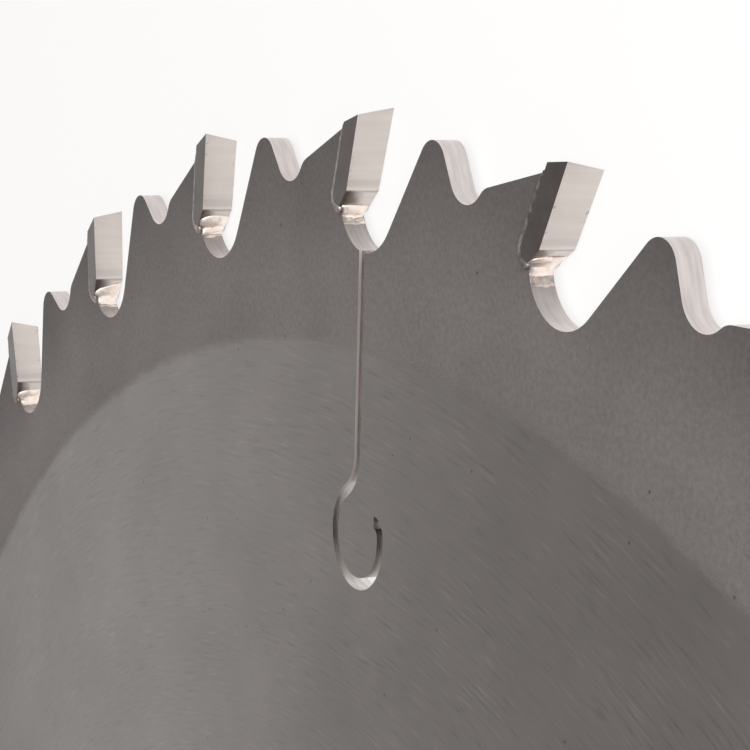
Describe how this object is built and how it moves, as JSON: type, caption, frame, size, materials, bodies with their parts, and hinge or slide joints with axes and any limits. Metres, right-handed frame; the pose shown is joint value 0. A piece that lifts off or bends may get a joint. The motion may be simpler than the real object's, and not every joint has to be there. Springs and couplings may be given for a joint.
{
  "type": "circular saw blade",
  "caption": "Circular saw blade: flat toothed steel disc with brazed carbide tips, kickback limiters, curled expansion slots and a plain arbor bore.",
  "frame": {"origin": "centre of the arbor bore, half way through the plate", "axes": "+Z along the arbor axis, out of the face from which the cutting points face clockwise; +Y through the first cutting point"},
  "size_m": [0.35, 0.35, 0.0036],
  "materials": {
    "plate_steel": "ground in the middle, blasted matt round the rim",
    "carbide": "fine ground",
    "braze_alloy": "bright, as melted"
  },
  "bodies": {
    "root": {"blade_plate": "plate_steel", "carbide_tip_01": "carbide", "carbide_tip_02": "carbide", "carbide_tip_03": "carbide", "carbide_tip_04": "carbide", "carbide_tip_05": "carbide", "carbide_tip_06": "carbide", "carbide_tip_07": "carbide", "carbide_tip_08": "carbide", "carbide_tip_09": "carbide", "carbide_tip_10": "carbide", "carbide_tip_11": "carbide", "carbide_tip_12": "carbide", "carbide_tip_13": "carbide", "carbide_tip_14": "carbide", "carbide_tip_15": "carbide", "carbide_tip_16": "carbide", "carbide_tip_17": "carbide", "carbide_tip_18": "carbide", "carbide_tip_19": "carbide", "carbide_tip_20": "carbide", "carbide_tip_21": "carbide", "carbide_tip_22": "carbide", "carbide_tip_23": "carbide", "carbide_tip_24": "carbide", "carbide_tip_25": "carbide", "carbide_tip_26": "carbide", "carbide_tip_27": "carbide", "carbide_tip_28": "carbide", "carbide_tip_29": "carbide", "carbide_tip_30": "carbide", "carbide_tip_31": "carbide", "carbide_tip_32": "carbide", "braze_joints": "braze_alloy"}
  },
  "joints": []
}
